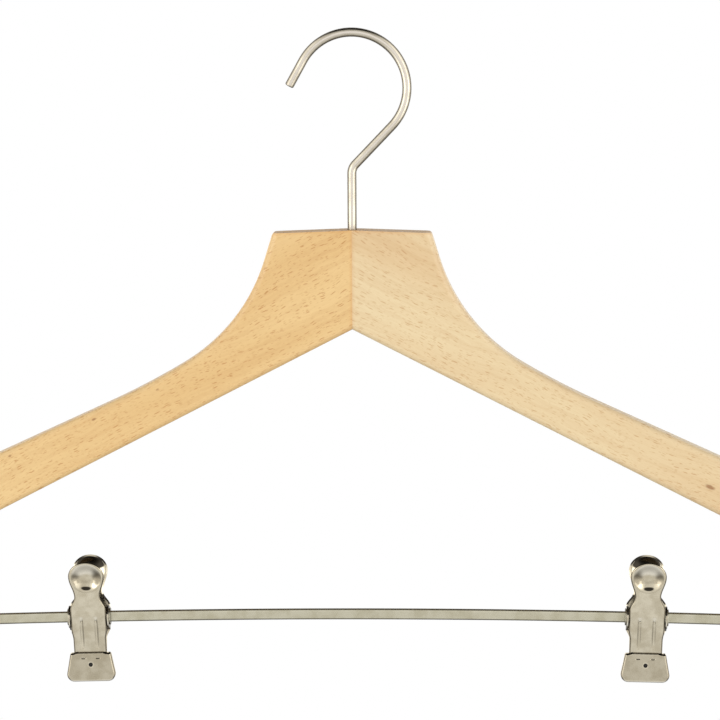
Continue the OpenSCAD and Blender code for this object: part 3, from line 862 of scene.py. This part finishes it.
def grid_points(spacing, keep):
    """A triangular grid over the jaw, of the points that keep allows."""
    points = []
    row = 0
    z = -mouth_drop
    while z < thumb_top:
        x = -mouth_half_w + (row % 2) * spacing / 2
        while x < mouth_half_w:
            if keep(x, z):
                points.append((x, z))
            x += spacing
        z += spacing * 0.866
        row += 1
    return points


def crease_points(near):
    """Close rows across the step above the mouth."""
    points = []
    for k in range(7):
        z = -crease_drop - 2 * crease_band + k * crease_band / 3
        x = -crease_half_w
        while x < crease_half_w:
            if near((x, z)) > 1.3:
                points.append((x + 0.01, z))
            x += 0.4
    return points


def spread(outline, near):
    """Points to build a jaw on: a fine rim, and a grid that is finer round small features."""
    ring = 32
    hole_rim = [polar((0, hole_z), hole_r, 360 * i / ring) for i in range(ring)]
    fine = [(0, hole_z, 1.9, 1.9)]
    for side in (-1, 1):
        fine += [(side * eye_x, eye_z, 1.5, 0.9), (side * pit_x, pit_z, 0.8, 0.8)]

    def in_fine(x, z):
        return any(abs(x - cx) < rx and abs(z - cz) < rz for cx, cz, rx, rz in fine)

    inside = inside_test(outline)
    coarse = grid_points(0.5, lambda x, z: not in_fine(x, z) and inside(x, z) and near((x, z)) > 1.45)
    close = grid_points(0.16, lambda x, z: in_fine(x, z) and math.hypot(x, z - hole_z) > hole_r + 0.1)
    return rim_points(outline, near) + hole_rim + coarse + close + crease_points(near)


def inside_test(outline):
    """A test of whether a point is inside a closed loop, by counting the edges to its right."""
    edges = list(zip(outline, outline[1:] + outline[:1]))

    def inside(x, z):
        crossed = 0
        for (x0, z0), (x1, z1) in edges:
            if (z0 > z) != (z1 > z) and x < x0 + (z - z0) * (x1 - x0) / (z1 - z0):
                crossed += 1
        return crossed % 2 == 1

    return inside


def pressed_sheet(half_w):
    """The outer face of a jaw with its rolled rim, thickened inward."""
    outline = [tuple(p) for p in resampled(jaw_outline(half_w), 0.3)]
    dense = [tuple(p) for p in resampled(outline, 0.06)]
    tree = kdtree.KDTree(len(dense))
    for i, p in enumerate(dense):
        tree.insert((p[0], p[1], 0), i)
    tree.balance()

    def near(p):
        return tree.find((p[0], p[1], 0))[2]

    flat = outline + spread(outline, near)
    loop = [list(range(len(outline)))]
    made = geometry.delaunay_2d_cdt([Vector(p) for p in flat], [], loop, 1, 1e-5)
    points = [(p.x, -face_depth(p.x, p.y, near(p)), p.y) for p in made[0]]
    hole = Vector((0, hole_z))

    def solid(face):
        middle = sum((made[0][v] for v in face), Vector((0, 0))) / len(face)
        return (middle - hole).length > hole_r

    faces = [tuple(f) for f in made[2] if solid(f)]
    piece = new_piece("sheet", points, faces)
    face_outward(piece)
    thinner = 0.05
    modifier(piece, "SOLIDIFY", thickness=(sheet_t - thinner) * MM, offset=-1, use_even_offset=False)
    apply_modifiers(piece)
    return piece


def face_outward(piece):
    """Makes the open sheet's faces look along -Y."""
    mesh = piece.data
    if sum(p.normal.y * p.area for p in mesh.polygons) > 0:
        mesh.flip_normals()


def plate(points, x0, x1):
    """A flat plate with its outline in [y, z]."""
    return swept("plate", [[(x, y, z) for y, z in points] for x in (x0, x1)])


def ears(half_w, r, low_z, high_z):
    """Two drilled ears behind the sheet, softened at their edges."""
    roll, lip = 1.15, (0.8, 0.2)
    low_y = -(foot_y + (bend_y - foot_y) * (low_z + crease_drop) / (bend_z + crease_drop)) + roll
    outline = [(low_y, low_z), (low_y + lip[0], low_z + lip[1])]
    outline += arc((0, 0), r, -90, 90, 36) + [(-bend_y + roll, high_z)]
    ring, softened = 64, 0.14
    hole = [polar((0, 0), tube_r + ear_gap, 360 * i / ring) for i in range(ring)]
    made = []
    for x in (-half_w, half_w - sheet_t):
        ear = plate(outline, x, x + sheet_t)
        cut(ear, "DIFFERENCE", plate(hole, x - 1, x + sheet_t + 1))
        modifier(ear, "BEVEL", width=softened * MM, segments=2, limit_method="ANGLE")
        apply_modifiers(ear)
        made.append(ear)
    return made


def joined(name, pieces):
    """One object made of several."""
    first = pieces[0]
    with bpy.context.temp_override(active_object=first, selected_editable_objects=pieces):
        bpy.ops.object.join()
    first.name = name
    return first


def jaw(kind):
    """A pressed jaw with its mouth below and its thumb pad above; the rear one faces back."""
    half_w = half_width[kind]
    piece = joined("jaw", [pressed_sheet(half_w)] + ears(half_w, ear_radius[kind], *ear_heights[kind]))
    if kind == "rear":
        piece.data.transform(Matrix.Scale(-1, 4, (0, 1, 0)))
        piece.data.flip_normals()
    mesh = piece.data
    bpy.data.objects.remove(piece)
    return mesh


def clip_jaw(side, kind, mesh, finish):
    """A copy of a jaw in its place on one clip."""
    piece = bpy.data.objects.new(f"{side}_{kind}_jaw_sheet", mesh.copy())
    bpy.context.scene.collection.objects.link(piece)
    seats[side].put(piece)
    crisp(piece, 55)
    piece.data.materials.clear()
    piece.data.materials.append(finish)
    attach(piece, f"{side}_clip_{kind}")
    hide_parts(f"{side}_{kind}_jaw")
    return piece


def gripper(side, kind, finish):
    """A ribbed rubber lining; its ribs are cut away from the middle of the mouth."""
    margin, top_gap, rib_pitch, rib_depth = 0.9, 1.4, 1.15, 0.3
    back, soft, end_shrink = 1.12, 0.22, 0.12
    face = -1 if kind == "front" else 1
    z0, z1 = -mouth_drop + margin, -crease_drop - top_gap
    corner_r = mouth_corner_r - margin
    low_w, top_w = mouth_half_w - margin, mouth_top_half_w - margin
    stations = []
    rows = 110
    for j in range(rows + 1):
        z = z0 + (z1 - z0) * j / rows
        w = low_w + (top_w - low_w) * j / rows
        rise = z - z0
        if rise < corner_r:
            w -= corner_r - math.sqrt(corner_r ** 2 - (corner_r - rise) ** 2)
        shrink = end_shrink if j in (0, rows) else 0.0
        rib = 0.5 - 0.5 * math.cos(2 * math.pi * rise / rib_pitch)
        y0 = rubber_gap + shrink + rib_depth * rib ** 3
        y1 = back - shrink
        ring = [(w - shrink, y0 + soft), (w - shrink, y1 - soft), (w - soft, y1), (-w + soft, y1),
                (-w + shrink, y1 - soft), (-w + shrink, y0 + soft), (-w + soft, y0), (w - soft, y0)]
        stations.append([(x, face * y, z) for x, y in ring])
    piece = swept(f"{side}_{kind}_pad_rubber", stations)
    seats[side].put(piece)
    crisp(piece, 40)
    piece.data.materials.append(finish)
    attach(piece, f"{side}_clip_{kind}")
    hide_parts(f"{side}_{kind}_pad")
    return piece


def wire_through(name, path, r):
    """Round wire along a path of 3-D points, without twist."""
    ring_points = 14
    stations = []
    across = None
    for i, p in enumerate(path):
        along = (path[min(i + 1, len(path) - 1)] - path[max(i - 1, 0)]).normalized()
        if across is None:
            across = along.orthogonal().normalized()
        across = (across - along * across.dot(along)).normalized()
        other = along.cross(across)
        end = 0.6 if i in (0, len(path) - 1) else 1.0
        stations.append([
            p + (across * math.cos(a) + other * math.sin(a)) * r * end
            for a in (2 * math.pi * k / ring_points for k in range(ring_points))
        ])
    return swept(name, stations)


def spring_paths():
    """Paths of one leg, and of one coil with its half of the bridge; the spring is the same on both sides."""
    coil_r = tube_r + coil_gap + spring_r
    lean = math.radians(lever_lean)
    lever_inner = bend_y * math.cos(lean) - bend_z * math.sin(lean) - sheet_t
    leg_rise = lever_inner - coil_r - spring_r - wire_gap
    leg_lean = lever_lean + math.degrees(math.asin(leg_rise / spring_leg_l))
    coil_turn = 360 * spring_turns + 180 - 2 * leg_lean
    coil_l = (2 * spring_r + wire_gap) * coil_turn / 360
    bridge_r = spring_half_w - coil_l
    start = 180 + leg_lean
    tilt = math.radians(leg_lean)
    front_dir = Vector((0, -math.sin(tilt), math.cos(tilt)))
    rear_dir = Vector((0, math.sin(tilt), math.cos(tilt)))

    def on_coil(turned):
        y, z = polar((0, 0), coil_r, start + turned)
        return Vector((spring_half_w - coil_l * turned / coil_turn, y, z))

    to_bottom = 270 - start
    leg = [on_coil(0) + front_dir * spring_leg_l * (1 - k / 8) for k in range(8)]
    leg += [on_coil(to_bottom * k / 8) for k in range(9)]
    count = 110
    coil = [on_coil(to_bottom + (coil_turn - to_bottom) * k / count) for k in range(count + 1)]
    centre = Vector((0, *polar((0, 0), coil_r, -leg_lean))) + rear_dir * (spring_leg_l - bridge_r)
    bridge = [
        centre + Vector((bridge_r * math.cos(a), 0, 0)) + rear_dir * bridge_r * math.sin(a)
        for a in (math.pi / 2 * k / 8 for k in range(9))
    ]
    return leg, coil + bridge


def spring(side, finish):
    """A double torsion spring: two legs on the front lever, two coils, and a bridge on the rear lever."""
    leg, half = spring_paths()

    def flipped(points):
        return [Vector((-p.x, p.y, p.z)) for p in reversed(points)]

    legs = [wire_through("leg", leg, spring_r), wire_through("leg", flipped(leg), spring_r)]
    front = joined(f"{side}_spring_legs", legs)
    rear = wire_through(f"{side}_spring_coils", half[:-1] + flipped(half), spring_r)
    seat, hinge_h = seats[side], 3
    for piece, kind in ((front, "front"), (rear, "rear")):
        seat.put(piece)
        piece.data.materials.clear()
        piece.data.materials.append(finish)
        seat.point(0, 0, 0)
        seat.point(0, 0, hinge_h)
        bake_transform(piece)
    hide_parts(f"{side}_spring")
    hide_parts(f"{side}_spring")


# ---------------------------------------- studio

def softbox(name, centre, size, aim_z, watts, mirrored=True):
    """A rectangular lamp that faces the hanger; metal shows it only if it is mirrored."""
    light = bpy.data.lights.new(name, "AREA")
    light.shape, light.size, light.size_y = "RECTANGLE", size[0], size[1]
    light.energy = watts
    lamp = bpy.data.objects.new(name, light)
    lamp.location = centre
    lamp.rotation_euler = (Vector((0, 0, aim_z)) - Vector(centre)).to_track_quat("-Z", "Y").to_euler()
    lamp.visible_camera = False
    lamp.visible_glossy = mirrored
    bpy.context.scene.collection.objects.link(lamp)


def lamps():
    narrow, wide = (0.3, 1.0), (1.6, 1.2)
    softbox("left_box", (-1.0, -0.78, 0.0), narrow, -0.05, 2.0)
    softbox("right_box", (1.0, -0.78, 0.0), narrow, -0.05, 2.0)
    softbox("front_box", (0.0, -2.2, 0.3), wide, -0.08, 1.0)
    softbox("back_box", (0.0, 2.2, 0.3), wide, -0.08, 12.0, mirrored=False)


class Room:
    """The world: white to the camera. To the object it is bright at the sides and behind, dark overhead and
    in a band between its middle and its back."""

    def __init__(self):
        world = bpy.data.worlds.new("studio")
        bpy.context.scene.world = world
        world.use_nodes = True
        self.tree = world.node_tree
        self.tree.nodes.clear()

    def add(self, kind, *values, **settings):
        made = self.tree.nodes.new("ShaderNode" + kind)
        for key, value in settings.items():
            setattr(made, key, value)
        for socket, value in zip(made.inputs, values):
            if isinstance(value, bpy.types.NodeSocket):
                self.tree.links.new(value, socket)
            else:
                socket.default_value = value
        return made.outputs

    def step(self, value, lo, hi, to_lo=0.0, to_hi=1.0):
        return self.add("MapRange", value, lo, hi, to_lo, to_hi, interpolation_type="SMOOTHSTEP")[0]

    def pair(self, operation, a, b):
        return self.add("Math", a, b, operation=operation)[0]

    def light(self):
        x, y, z = self.add("SeparateXYZ", self.add("TexCoord")["Generated"])
        sides = self.step(self.add("Math", x, operation="ABSOLUTE")[0], 0.30, 0.70, 0.86, 2.1)
        before_band = self.step(y, 0.34, 0.04, 0.05, 1.0)
        past_band = self.step(y, 0.42, 0.66)
        overhead = self.step(z, 0.95, 0.72, 0.03, 1.0)
        around = self.pair("MULTIPLY", sides, self.pair("MAXIMUM", before_band, past_band))
        level = self.pair("MULTIPLY", around, overhead)
        room = self.add("Background", (1.0, 0.985, 0.955, 1.0), level)[0]
        white = self.add("Background", (1.0, 1.0, 1.0, 1.0), 1.0)[0]
        seen = self.add("LightPath")["Is Camera Ray"]
        self.add("OutputWorld", self.add("MixShader", seen, room, white)[0])


def floor():
    """A round floor far below, as the hanger hangs from a rail."""
    ring, rings, floor_r, drop_m = 96, 12, 2200, 0.9
    points = [(0, 0, 0)]
    for k in range(rings):
        r = floor_r * (k + 1) / rings
        points += [(*polar((0, 0), r, 360 * i / ring), 0) for i in range(ring)]
    faces = [(0, 1 + i, 1 + (i + 1) % ring) for i in range(ring)]
    faces += [tuple(1 + v for v in reversed(f)) for f in skin_faces(rings, ring)]
    piece = new_piece("studio_floor", points, faces)
    piece.location = (0, 0, -drop_m)
    piece.data.materials.append(glowing_floor("glowing_floor"))


def camera():
    """Looks a little down at the clips and the neck, from just right of the middle."""
    data = bpy.data.cameras.new("camera")
    data.sensor_width, data.lens = 36, 173.7
    middle_x, aside, roll = 0.0031, 0.045, -0.30
    place = Vector((middle_x + aside, -1.5, 0.1186))
    target = Vector((middle_x, 0, -0.0570))
    facing = (target - place).to_track_quat("-Z", "Y").to_matrix().to_4x4()
    view = bpy.data.objects.new("camera", data)
    bpy.context.scene.collection.objects.link(view)
    view.matrix_world = Matrix.Translation(place) @ facing @ Matrix.Rotation(math.radians(roll), 4, "Z")
    bpy.context.scene.camera = view


# ---------------------------------------- build

def carried(node, finish):
    """A CAD node that is shown as it is, with its finish."""
    piece = frame["nodes"][node]
    piece.data.materials.clear()
    piece.data.materials.append(finish)


def wooden_finishes():
    """A warmer left board and a paler right one, with the grain along each arm."""
    left_knots = [(-112.6, -82, 1.2, 0.6, 0.7), (-149.5, -98, 1.0, 0.6, 0.6), (-84.8, -69, 0.9, 0.5, 0.5)]
    right_knots = [(154.8, -112, 2.6, 1.1, 0.75)]
    left_tones = rgb(208, 178, 127), rgb(199, 165, 113), rgb(164, 114, 62)
    right_tones = rgb(206, 187, 150), rgb(197, 171, 132), rgb(168, 126, 80)
    left = beech("beech_left", grain_tilt, left_tones, 0.75, 1, left_knots)
    right = beech("beech_right", -grain_tilt, right_tones, 0.62, 2, right_knots)
    return left, right


def build_clips(tube_plate, steel):
    """Both clips. Each jaw is made once and copied to either side."""
    jaw_plate = pressed_nickel("jaw_nickel", rgb(198, 190, 170), rgb(180, 171, 150))
    black = rubber("black_rubber_skin")
    for kind in ("front", "rear"):
        mesh = jaw(kind)
        for side in SIDES:
            clip_jaw(side, kind, mesh, jaw_plate)
            gripper(side, kind, black)
    for side in SIDES:
        carried(side + "_pivot_tube", tube_plate)
        spring(side, steel)


def build():
    beech_left, beech_right = wooden_finishes()
    hook_plate = plated_wire("hook_nickel", rgb(196, 189, 173), rgb(178, 170, 154), middle=0.6)
    bar_plate = plated_wire("bar_nickel", rgb(204, 200, 180), rgb(184, 179, 157))
    steel = spring_wire("spring_steel_wire")
    arm(-1, beech_left)
    arm(1, beech_right)
    hook(hook_plate)
    bar(bar_plate)
    carried("hook_pin", steel)
    build_clips(bar_plate, steel)


build()
Room().light()
floor()
camera()
lamps()
bpy.context.scene.view_settings.view_transform = "Standard"
